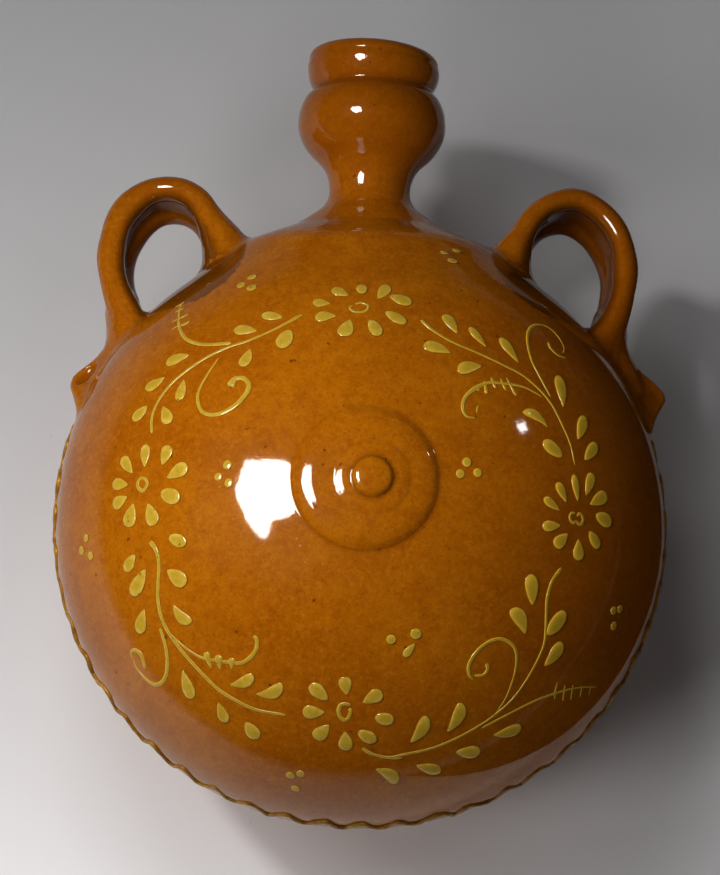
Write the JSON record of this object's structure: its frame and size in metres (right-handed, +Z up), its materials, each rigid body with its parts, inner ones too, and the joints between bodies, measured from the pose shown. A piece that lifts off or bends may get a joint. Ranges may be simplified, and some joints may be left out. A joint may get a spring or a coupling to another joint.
{
  "type": "ceramic water jug",
  "caption": "Round, flattened water jug of glazed earthenware with a knopped neck, grooved loop handles, a front boss and a trailed slip wreath; it lies on its flat back.",
  "frame": {"origin": "middle of the flat back that the jug lies on, at floor height", "axes": "+Z up, from the flat back to the front boss; +Y along the neck to its mouth; +X to the right, seen from above with the neck up"},
  "size_m": [0.2128, 0.277, 0.1414],
  "materials": {
    "glazed_clay": "gloss honey-brown lead glaze over red clay",
    "slip": "gloss glaze over raised yellow slip"
  },
  "bodies": {
    "root": {"front_bowl": "glazed_clay", "back_bowl": "glazed_clay", "neck": "glazed_clay", "handle_left": "glazed_clay", "handle_right": "glazed_clay", "edge_wave": "slip", "spray_upper_left": "slip", "spray_upper_right": "slip", "spray_lower_left": "slip", "spray_lower_right": "slip", "heart_upper": "slip", "heart_left": "slip", "heart_right": "slip", "heart_lower": "slip", "petal_upper_1": "slip", "petal_upper_2": "slip", "petal_upper_3": "slip", "petal_upper_4": "slip", "petal_upper_5": "slip", "petal_upper_6": "slip", "petal_upper_7": "slip", "petal_upper_8": "slip", "petal_upper_9": "slip", "petal_left_1": "slip", "petal_left_2": "slip", "petal_left_3": "slip", "petal_left_4": "slip", "petal_left_5": "slip", "petal_left_6": "slip", "petal_left_7": "slip", "petal_left_8": "slip", "petal_left_9": "slip", "petal_right_1": "slip", "petal_right_2": "slip", "petal_right_3": "slip", "petal_right_4": "slip", "petal_right_5": "slip", "petal_right_6": "slip", "petal_right_7": "slip", "petal_right_8": "slip", "petal_right_9": "slip", "petal_right_10": "slip", "petal_lower_1": "slip", "petal_lower_2": "slip", "petal_lower_3": "slip", "petal_lower_4": "slip", "petal_lower_5": "slip", "petal_lower_6": "slip", "petal_lower_7": "slip", "petal_lower_8": "slip"}
  },
  "joints": []
}
